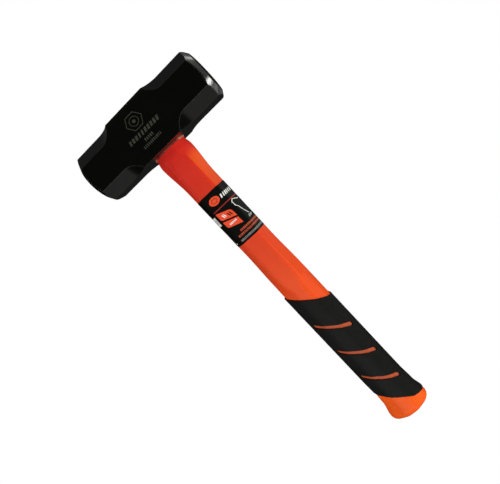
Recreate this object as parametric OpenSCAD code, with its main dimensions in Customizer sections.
// Short-handled sledgehammer with a bonded glass-fibre handle.
// It stands on its head: +Z runs up the handle, X runs along the head, and the cheeks face -Y and +Y.
// The origin is on the resting face, under the middle of the head.

/* [Head] */
// Length of the head over its two struck faces
head_l = 132; // [112:1:170]
// Height of the head, measured along the handle
head_h = 45; // [40:0.5:60]
// Thickness of the head from cheek to cheek
head_t = 46; // [40:0.5:60]
// Length of the square middle that is left unchamfered
block_l = 41; // [36:0.5:50]
// Leg of the chamfers along the head's long edges
chamfer = 10; // [6:0.5:13]
// Radius of the cutter that runs each chamfer out into the square middle
runout_r = 18; // [10:1:24]

/* [Struck faces] */
// Diameter of the crowned face inside its bevel
face_d = 38; // [30:1:40]
// Diameter of the flat centre of the face
face_flat_d = 16; // [6:1:24]
// Height of the crown over the rim of the face
crown_h = 0.8; // [0.3:0.1:1.5]
// Angle between the bevel's surface and the head's long axis
bevel_angle = 57; // [45:1:70]

/* [Eye] */
// Length of the eye at its mouth, on the handle's side
eye_l = 29; // [24:0.5:29.5]
// Width of the eye at its mouth
eye_w = 20; // [17:0.5:23]
// Growth of the eye on every side towards the resting face, which locks the resin in
eye_taper = 2; // [0.5:0.5:3]
// Depth of the resin's face under the resting face
resin_recess = 1; // [0.5:0.5:3]

/* [Core rod] */
// Width of the glass-fibre rod
core_w = 21; // [17:0.5:23]
// Thickness of the rod, between its two flats
core_t = 14; // [9:0.5:16]
// Depth of the rod's end under the resting face
core_recess = 1.5; // [1:0.5:4]
// Plastic left between the rod's far end and the end of the butt
core_cover = 28; // [15:1:60]

/* [Handle jacket] */
// Overall length from the resting face to the end of the butt
hammer_l = 355; // [330:1:480]
// Width where the jacket meets the head
mouth_w = 30.6; // [30:0.1:34]
// Thickness where the jacket meets the head
mouth_t = 24.6; // [24:0.1:28]
// Width of the swelling just above the head
neck_w = 33.7; // [31:0.1:38]
// Thickness of the swelling
neck_t = 26.8; // [25:0.1:32]
// Height of the swelling's widest place over the head
neck_rise = 9; // [6:0.5:14]
// Height over the head at which the shaft has become straight
waist_rise = 39; // [30:1:45]
// Width of the straight shaft
shaft_w = 29.8; // [28:0.1:34]
// Thickness of the straight shaft
shaft_t = 24.4; // [23:0.1:30]
// Width under the grip
hand_w = 31.4; // [29:0.1:36]
// Thickness under the grip
hand_t = 25.6; // [24:0.1:31]
// Widest width of the flared butt
butt_w = 38.6; // [36:0.1:46]
// Thickness of the flared butt
butt_t = 31; // [29:0.1:38]
// Radius that rounds the end of the butt
butt_r = 6; // [2:0.5:7]
// Half width of the flats on the front and back of the shaft
flat_half = 6; // [3:0.5:7]
// Radius of the corners between the shaft's flats
corner_r = 5; // [3:0.5:7]
// Half width of the flats that are left under the grip, where the handle is nearly oval
oval_flat = 2; // [1:0.5:5]
// Radius of the corners under the grip
oval_r = 10.5; // [7:0.5:11]

/* [Grip] */
// Distance along the axis from the grip's upper cut to its lower one
grip_l = 117; // [96:0.5:135]
// Distance from the grip's lowest point to the end of the butt
grip_margin = 7.5; // [6:0.5:40]
// Wall of the grip along most of its length
grip_wall = 1.25; // [0.8:0.05:2.5]
// Wall of the grip at its lower edge, where it runs almost flush with the butt
grip_edge = 0.5; // [0.3:0.05:0.8]
// Slope of the cuts against the handle's cross section
cut_angle = 36; // [15:0.5:42]
// Number of slanted windows on the front, and as many on the back
slot_count = 3; // [1:1:3]
// Distance from the upper cut to the first window
slot_start = 32; // [15:0.5:34]
// Distance along the axis from one window to the next
slot_pitch = 30.6; // [10:0.1:38]
// Width of a window across its run
slot_w = 3; // [1.5:0.1:5]
// Distance from the handle's axis to the windows' closed ends
slot_reach = 13; // [8:0.5:14]

/* [Label and bead] */
// Distance from the head to the label's near edge
label_rise = 49.5; // [45:0.5:54]
// Length of the label sleeve
label_l = 50.5; // [20:0.5:55]
// Thickness of the label's film
label_film = 0.2; // [0.1:0.05:0.5]
// Height of the sealing bead round the mouth of the jacket
bead_h = 1.4; // [0.8:0.1:3]
// Width of the bead on the head's face
bead_w = 1.2; // [0.6:0.1:2.5]

/* [Hidden] */

$fn = 96;
// Cuts run this far past the faces that they open
past = 1;
// Chords in each rounded corner of the handle's section, and in each of its two tips
corner_steps = 6;
tip_steps = 2 * corner_steps;
// Steps in each smooth change of the handle's section
blend_steps = 8;
// Points along the crown of a struck face
crown_steps = 6;

// Chamfer plane: depth under the square edge, run of the radius, and distance from the head's axis
chamfer_depth = chamfer / sqrt(2);
runout_l = sqrt(pow(runout_r, 2) - pow(runout_r - chamfer_depth, 2));
chamfer_dist = (head_t + head_h) / 2 / sqrt(2) - chamfer_depth;

// Crown of a struck face: one arc from the flat centre to the rim
face_rim_x = head_l / 2 - crown_h;
rim_r = face_d / 2;
flat_r = face_flat_d / 2;
head_reach = sqrt(pow(head_t, 2) + pow(head_h, 2)) / 2 + past;

// Cuts of the grip, as heights at which they cross the handle's axis
lean_rate = tan(cut_angle);
grip_end = hammer_l - grip_margin - lean_rate * butt_w / 2;
grip_z = grip_end - grip_l;
label_z = head_h + label_rise;

// Handle keys: [height, half width, half thickness, corner radius, half width of the flats]
neck_z = head_h + neck_rise;
waist_z = head_h + waist_rise;
// The straight shaft ends past the label, and its flats fade out where the grip starts on its near side
shaft_end_z = label_z + label_l + 11;
cover_z = grip_z - lean_rate * hand_w / 2;
fade_l = 14;
fade_z = cover_z - fade_l;
oval_z = cover_z + fade_l;
hand_end_z = hammer_l - 37;
flare_z = hammer_l - 21;
butt_z = hammer_l - butt_r;
// The end of the butt is rounded further inwards than it rises
butt_inset = 1.3 * butt_r;
round_r = 9;
round_flat = 3;
flare_w = hand_w + 1.6;
flare_t = hand_t + 1.2;
KEYS = [
  [head_h, mouth_w / 2, mouth_t / 2, round_r, round_flat],
  [neck_z, neck_w / 2, neck_t / 2, round_r, round_flat],
  [waist_z, shaft_w / 2, shaft_t / 2, corner_r, flat_half],
  [shaft_end_z, shaft_w / 2, shaft_t / 2, corner_r, flat_half],
  [fade_z, hand_w / 2, hand_t / 2, corner_r, flat_half],
  [oval_z, hand_w / 2, hand_t / 2, oval_r, oval_flat],
  [hand_end_z, hand_w / 2, hand_t / 2, oval_r, oval_flat],
  [flare_z, flare_w / 2, flare_t / 2, oval_r + 1, oval_flat],
  [butt_z, butt_w / 2, butt_t / 2, oval_r + 2.5, oval_flat]
];
last_key = len(KEYS) - 1;

// Smooth step from 0 to 1
function ease(t) = (1 - cos(180 * t)) / 2;
function mix(a, b, t) = a + (b - a) * t;

// The key at or below a height
function key_under(z, k = 0) = k >= last_key - 1 || z < KEYS[k + 1][0] ? k : key_under(z, k + 1);

// Section of the jacket at a height: sizes ease all the way from one key to the next, and
// corners and flats in the first half of the way
function section_at(z) =
  let (k = key_under(z))
  let (run = min(1, max(0, (z - KEYS[k][0]) / (KEYS[k + 1][0] - KEYS[k][0]))))
  let (size_t = ease(run), corner_t = ease(min(1, 2 * run)))
  [for (c = [1:4]) mix(KEYS[k][c], KEYS[k + 1][c], c < 3 ? size_t : corner_t)];

// One ring of points: a six-sided section whose corners are rounded, grown by an offset.
// The corner centres stay where they are, so every ring grown from one section is parallel to it.
function ring(section, grow) =
  let (r = section[2])
  let (tip = section[0] - r, side = section[1] - r, flat = min(section[3], tip - 1))
  let (lean = atan2(tip - flat, side))
  let (corners = [
    [tip, 0, -lean, lean, tip_steps],
    [flat, side, lean, 90, corner_steps],
    [-flat, side, 90, 180 - lean, corner_steps],
    [-tip, 0, 180 - lean, 180 + lean, tip_steps],
    [-flat, -side, 180 + lean, 270, corner_steps],
    [flat, -side, 270, 360 - lean, corner_steps]
  ])
  [for (c = corners)
    for (s = [0:c[4]])
      let (a = mix(c[2], c[3], s / c[4]))
      [c[0] + (r + grow) * cos(a), c[1] + (r + grow) * sin(a)]];

// Number of points in a ring
ring_n = 4 * (corner_steps + 1) + 2 * (tip_steps + 1);

function lift(points, z) = [for (p = points) [p[0], p[1], z]];

// Two triangles for one four-sided patch
function patch(a, b, c, d) = [[a, b, c], [a, c, d]];

// Closed solid through a stack of rings
module loft(rings) {
  n = len(rings[0]);
  last = len(rings) - 1;
  sides = [for (j = [0:last - 1]) for (i = [0:n - 1])
    let (k = (i + 1) % n)
    each patch(j * n + i, (j + 1) * n + i, (j + 1) * n + k, j * n + k)];
  bottom = [for (i = [0:n - 1]) i];
  top = [for (i = [n - 1:-1:0]) last * n + i];
  polyhedron([for (r = rings) each r], concat(sides, [bottom], [top]), convexity = 4);
}

// Wall between an outer and an inner stack of rings, left open where open[row][column] is true
module shell(outer, inner, open) {
  rows = len(outer);
  n = len(outer[0]);
  base = rows * n;
  function o(j, i) = j * n + i % n;
  function q(j, i) = base + o(j, i);
  function solid(j, i) = j >= 0 && j < rows - 1 && !open[j][(i + n) % n];
  skins = [for (j = [0:rows - 2]) for (i = [0:n - 1]) if (solid(j, i))
    each concat(
      patch(o(j, i), o(j + 1, i), o(j + 1, i + 1), o(j, i + 1)),
      patch(q(j, i), q(j, i + 1), q(j + 1, i + 1), q(j + 1, i)))];
  undersides = [for (j = [0:rows - 1]) for (i = [0:n - 1]) if (solid(j, i) && !solid(j - 1, i))
    each patch(o(j, i), o(j, i + 1), q(j, i + 1), q(j, i))];
  uppersides = [for (j = [0:rows - 1]) for (i = [0:n - 1]) if (!solid(j, i) && solid(j - 1, i))
    each patch(o(j, i), q(j, i), q(j, i + 1), o(j, i + 1))];
  starts = [for (j = [0:rows - 2]) for (i = [0:n - 1]) if (solid(j, i) && !solid(j, i - 1))
    each patch(o(j, i), q(j, i), q(j + 1, i), o(j + 1, i))];
  ends = [for (j = [0:rows - 2]) for (i = [0:n - 1]) if (!solid(j, i) && solid(j, i - 1))
    each patch(o(j, i), o(j + 1, i), q(j + 1, i), q(j, i))];
  polyhedron(
    [for (r = outer) each r, for (r = inner) each r],
    concat(skins, undersides, uppersides, starts, ends),
    convexity = 8);
}

// Rows with no opening
function closed(rows) = [for (j = [0:rows - 2]) [for (i = [0:ring_n - 1]) false]];

// Round-ended bar along Z
module oval_bar(width, thickness, z_low, z_high) {
  translate([0, 0, z_low])
    linear_extrude(z_high - z_low)
      union() {
        square([width - thickness, thickness], center = true);
        for (side = [-1, 1])
          translate([side * (width - thickness) / 2, 0])
            circle(d = thickness);
      }
}

// Round-ended taper of the eye, wide at the resting face
module eye_taper_solid(z_low, z_high) {
  centres = eye_l - eye_w;
  function half(z) = eye_w / 2 + eye_taper * (1 - z / head_h);
  for (side = [-1, 1])
    translate([side * centres / 2, 0, z_low])
      cylinder(h = z_high - z_low, r1 = half(z_low), r2 = half(z_high));
  translate([centres / 2, 0, 0])
    rotate([90, 0, -90])
      linear_extrude(centres)
        polygon([
          [-half(z_low), z_low], [half(z_low), z_low],
          [half(z_high), z_high], [-half(z_high), z_high]]);
}

// Round envelope of the head: crowned faces and their bevels, turned about the long axis
module turned_envelope() {
  bevel_x = face_rim_x - (head_reach - rim_r) / tan(bevel_angle);
  crown = [for (s = [0:crown_steps])
    let (t = s / crown_steps)
    [mix(rim_r, flat_r, t), face_rim_x + crown_h * (1 - pow(1 - t, 2))]];
  for (end = [0, 1])
    mirror([end, 0, 0])
      rotate([0, 90, 0])
        rotate_extrude()
          polygon(concat([[0, 0], [head_reach, 0], [head_reach, bevel_x]], crown, [[0, head_l / 2]]));
}

// Cutter for one chamfer at one end: a flat cut that leaves the work along a radius
module chamfer_cutter(corner_angle) {
  translate([0, 0, head_h / 2])
    rotate([corner_angle, 0, 0])
      translate([0, chamfer_dist, 0])
        linear_extrude(3 * chamfer, center = true)
          union() {
            translate([block_l / 2 + runout_l, 0])
              square([head_l / 2, chamfer_depth + past]);
            translate([block_l / 2 + runout_l, runout_r])
              circle(r = runout_r);
          }
}

module head() {
  color([0.09, 0.09, 0.09])
    difference() {
      intersection() {
        translate([-head_l / 2, -head_t / 2, 0])
          cube([head_l, head_t, head_h]);
        translate([0, 0, head_h / 2])
          turned_envelope();
      }
      for (end = [0, 1])
        mirror([end, 0, 0])
          for (corner_angle = [45:90:315])
            chamfer_cutter(corner_angle);
      eye_taper_solid(-past, head_h + past);
    }
}

module core_bar() {
  oval_bar(core_w, core_t, core_recess, hammer_l - core_cover);
}

module core_rod() {
  color([0.83, 0.8, 0.62])
    core_bar();
}

module eye_resin() {
  color([0.75, 0.66, 0.42])
    difference() {
      eye_taper_solid(resin_recess, head_h);
      oval_bar(core_w, core_t, resin_recess - past, head_h + past);
      oval_bar(core_w, core_t, 0, core_recess);
    }
}

// Heights at which the jacket has a ring, from the head up to the widest place of the butt
jacket_heights = [
  for (k = [0:last_key - 1])
    for (s = [0:blend_steps - 1])
      mix(KEYS[k][0], KEYS[k + 1][0], s / blend_steps),
  butt_z
];

module handle_jacket() {
  butt = section_at(butt_z);
  body = [for (z = jacket_heights) lift(ring(section_at(z), 0), z)];
  rounding = [for (a = [15:15:90]) lift(ring(butt, -butt_inset * (1 - cos(a))), butt_z + butt_r * sin(a))];
  color([0.93, 0.35, 0.12])
    difference() {
      loft(concat(body, rounding));
      core_bar();
    }
}

module neck_bead() {
  bead_angles = [0:30:90];
  outer = [for (a = bead_angles) let (z = head_h + bead_h * sin(a))
    lift(ring(section_at(z), max(0.1, bead_w * cos(a))), z)];
  inner = [for (a = bead_angles) let (z = head_h + bead_h * sin(a))
    lift(ring(section_at(z), 0), z)];
  color([0.85, 0.55, 0.4])
    shell(outer, inner, closed(len(outer)));
}

module label_sleeve() {
  heights = [label_z, label_z + label_l];
  outer = [for (z = heights) lift(ring(section_at(z), label_film), z)];
  inner = [for (z = heights) lift(ring(section_at(z), 0), z)];
  color([0.1, 0.09, 0.09])
    shell(outer, inner, closed(len(outer)));
}

// Grip rows: each row crosses the axis at its own height, and all lean by the same angle
slot_half = slot_w / 2 / cos(cut_angle);
slot_rows = [for (s = [0:slot_count - 1])
  for (edge = [-1, 1])
    grip_z + slot_start + s * slot_pitch + edge * slot_half];
tail_z = slot_rows[len(slot_rows) - 1];
tail_steps = 12;
grip_rows = concat([grip_z], slot_rows,
  [for (s = [1:tail_steps]) mix(tail_z, grip_end, s / tail_steps)]);

// Height of one point of a leaning row, whose place across the handle is x
function row_height(row_z, x) = row_z - lean_rate * x;

function grip_wall_at(z) =
  mix(grip_wall, grip_edge, ease(min(1, max(0, (z - hand_end_z) / (butt_z - hand_end_z)))));

// The ring of one leaning row: each point is taken from the section at its own height
function leaning_ring(row_z, outside) =
  let (guide = ring(section_at(min(row_z, flare_z)), 0))
  [for (i = [0:ring_n - 1])
    let (z = row_height(row_z, guide[i][0]))
    let (p = ring(section_at(z), outside ? grip_wall_at(z) : 0)[i])
    [p[0], p[1], z]];

module grip_sleeve() {
  outer = [for (z = grip_rows) leaning_ring(z, true)];
  inner = [for (z = grip_rows) leaning_ring(z, false)];
  guide = ring(section_at(grip_z), 0);
  reach = [for (p = guide) abs(p[0])];
  open = [for (j = [0:len(grip_rows) - 2])
    [for (i = [0:ring_n - 1])
      j % 2 == 1 && j < 2 * slot_count && max(reach[i], reach[(i + 1) % ring_n]) < slot_reach]];
  color([0.12, 0.12, 0.12])
    shell(outer, inner, open);
}

head();
eye_resin();
core_rod();
neck_bead();
handle_jacket();
grip_sleeve();
label_sleeve();
